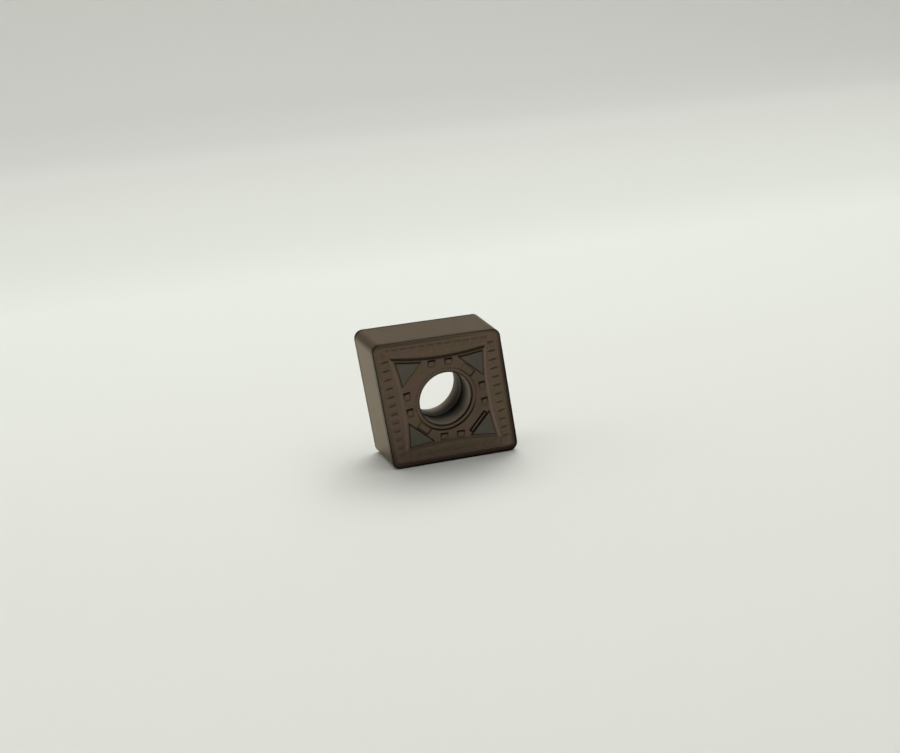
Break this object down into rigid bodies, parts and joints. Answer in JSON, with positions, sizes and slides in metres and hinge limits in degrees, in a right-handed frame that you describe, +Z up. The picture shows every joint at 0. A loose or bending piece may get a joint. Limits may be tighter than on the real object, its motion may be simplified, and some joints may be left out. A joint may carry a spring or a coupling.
{
  "type": "carbide insert",
  "caption": "Rhombic double-sided cutting insert with chip grooves, ribs, ground seat pads and a clamping hole, standing on one flank.",
  "frame": {"origin": "on the ground, under the middle of the hole, halfway through the thickness", "axes": "+X along the flank it stands on, +Y along the hole towards the hidden face, +Z up"},
  "size_m": [0.0148, 0.0048, 0.0127],
  "materials": {
    "coated_carbide": "satin brown hard coating on sintered carbide, with dark grey ground seat pads"
  },
  "bodies": {
    "root": {"insert": "coated_carbide"}
  },
  "joints": []
}
